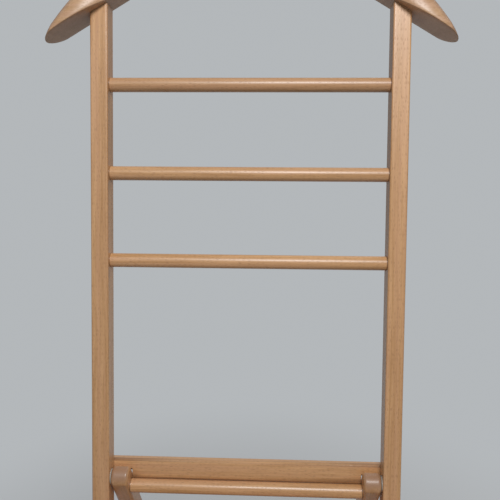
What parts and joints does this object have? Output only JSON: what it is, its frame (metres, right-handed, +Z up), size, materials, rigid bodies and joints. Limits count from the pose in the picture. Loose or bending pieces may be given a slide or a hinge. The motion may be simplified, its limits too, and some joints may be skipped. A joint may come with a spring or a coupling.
{
  "type": "folding clothes valet chair",
  "caption": "Folding wooden clothes valet chair: a leaning frame with shoulder hanger and rungs, swinging rear legs and a slatted seat that folds up with them.",
  "frame": {"origin": "on the floor, under the middle of the chair's overall box", "axes": "+Z up, +Y to the back of the chair, +X to the right seen from the front"},
  "size_m": [0.458, 0.5304, 1.1457],
  "materials": {
    "beech": "clear satin lacquer on steamed beech",
    "steel": "zinc plated",
    "nylon": "matt nylon"
  },
  "bodies": {
    "frame": {"upright_left": "beech", "upright_right": "beech", "hanger": "beech", "hanger_dowels": "beech", "rung_top": "beech", "rung_middle": "beech", "rung_lower": "beech", "back_rail": "beech", "seat_bearer": "beech", "front_rail": "beech", "rail_screws": "steel", "leg_pivots": "steel", "leg_washers": "nylon", "front_glides": "nylon"},
    "rear_legs": {"rear_leg_left": "beech", "rear_leg_right": "beech", "hinge_bar": "beech", "rear_stretcher": "beech", "seat_pivots": "steel", "seat_washers": "nylon", "rear_glides": "nylon"},
    "seat": {"seat_rail_left": "beech", "seat_rail_right": "beech", "seat_cross_rail": "beech", "seat_dowels": "beech", "slat_rear": "beech", "slat_1": "beech", "slat_2": "beech", "slat_3": "beech", "slat_4": "beech", "slat_screws": "steel"}
  },
  "joints": [
    {"name": "leg_fold", "type": "hinge", "parent": "frame", "child": "rear_legs", "pos_m": [0, -0.00579, 0.532], "axis": [1, 0, 0], "range_deg": [-42, 0]},
    {"name": "seat_fold", "type": "hinge", "parent": "rear_legs", "child": "seat", "pos_m": [0, 0.03716, 0.44392], "axis": [1, 0, 0], "range_deg": [-64, 0]}
  ],
  "couplings": [
    {"joint": "seat_fold", "follows": "leg_fold", "ratio": 1.5238}
  ]
}
